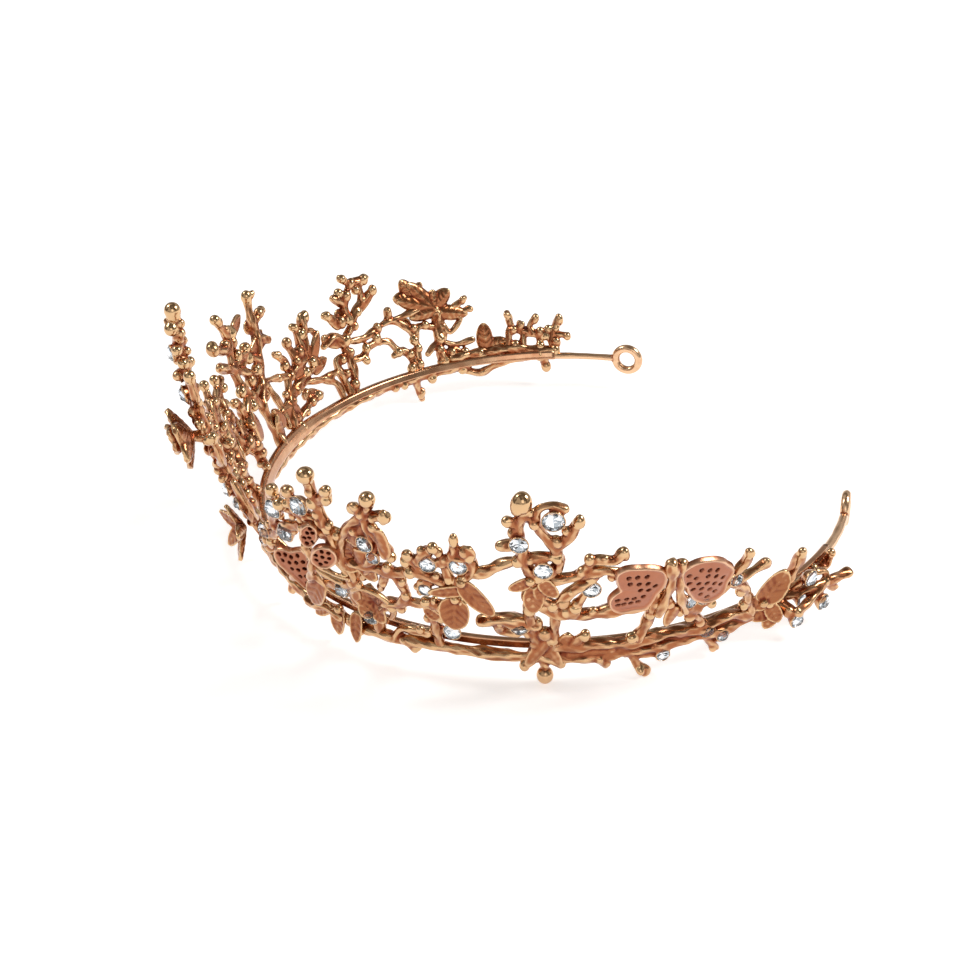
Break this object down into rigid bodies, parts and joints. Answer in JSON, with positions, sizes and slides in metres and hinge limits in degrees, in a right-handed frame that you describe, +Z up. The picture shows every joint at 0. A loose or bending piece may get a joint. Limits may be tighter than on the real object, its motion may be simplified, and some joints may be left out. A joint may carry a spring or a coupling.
{
  "type": "bridal tiara",
  "caption": "Open bridal tiara: a rigid headband with end rings, twig rails, flower sprays, butterflies and set clear stones.",
  "frame": {"origin": "middle of the tiara's footprint, on the surface it rests on", "axes": "+Z up; -Y to the front, where the sprays are tallest; +X to the wearer's left; the headband opens toward +Y"},
  "size_m": [0.1746, 0.1553, 0.0758],
  "materials": {
    "cast_plate": "polished rose gold plate on cast alloy",
    "headband_plate": "polished rose gold plate on wire and strip",
    "wing_satin": "satin rose gold plate, pierced",
    "petal_plate": "satin rose gold plate, veined",
    "crystal": "clear faceted, silver foil backed"
  },
  "bodies": {
    "root": {"headband_strip": "headband_plate", "eyelet_left": "headband_plate", "eyelet_right": "headband_plate", "twig_rail_front": "cast_plate", "twig_rail_right": "cast_plate", "twig_rail_right_end": "cast_plate", "twig_rail_left": "cast_plate", "twig_rail_left_end": "cast_plate", "spray_centre_tall": "cast_plate", "spray_centre_left": "cast_plate", "spray_left_tall": "cast_plate", "spray_left_fork": "cast_plate", "spray_left_high": "cast_plate", "link_left_arcs": "cast_plate", "flower_branch_left": "petal_plate", "sprig_left_end": "cast_plate", "spray_front_right": "cast_plate", "spray_right_rise": "cast_plate", "spray_right_low": "cast_plate", "link_right_upper": "cast_plate", "link_right_lower": "cast_plate", "spray_right_tall": "cast_plate", "branch_right_upper": "cast_plate", "branch_right_lower": "cast_plate", "butterfly_right_legs": "cast_plate", "sprig_right_mid": "cast_plate", "sprig_right_end": "cast_plate", "stones_centre": "crystal", "stones_front_upper": "crystal", "stones_front_lower": "crystal", "stones_right_rise": "crystal", "stones_right_low": "crystal", "stones_right_tall": "crystal", "stones_right_branch": "crystal", "stones_right_end": "crystal", "stones_left": "crystal", "butterfly_front_wings": "wing_satin", "butterfly_front_large_wing": "wing_satin", "butterfly_front_body": "cast_plate", "butterfly_right_wing_a": "wing_satin", "butterfly_right_wing_b": "wing_satin", "butterfly_right_body": "cast_plate", "flower_side": "petal_plate", "flower_side_centre": "petal_plate", "flower_star": "petal_plate", "flower_dark": "petal_plate", "flower_ring_low": "petal_plate", "flower_right_tall": "petal_plate", "flower_pendant": "petal_plate", "flower_left": "petal_plate", "flower_left_upper": "petal_plate", "leaf_right_large": "petal_plate", "leaf_right_low": "petal_plate", "leaf_right_end": "petal_plate", "flower_right_end": "petal_plate", "leaf_pair_left": "petal_plate", "leaf_left_grid": "petal_plate", "petals_front_low": "petal_plate"}
  },
  "joints": []
}
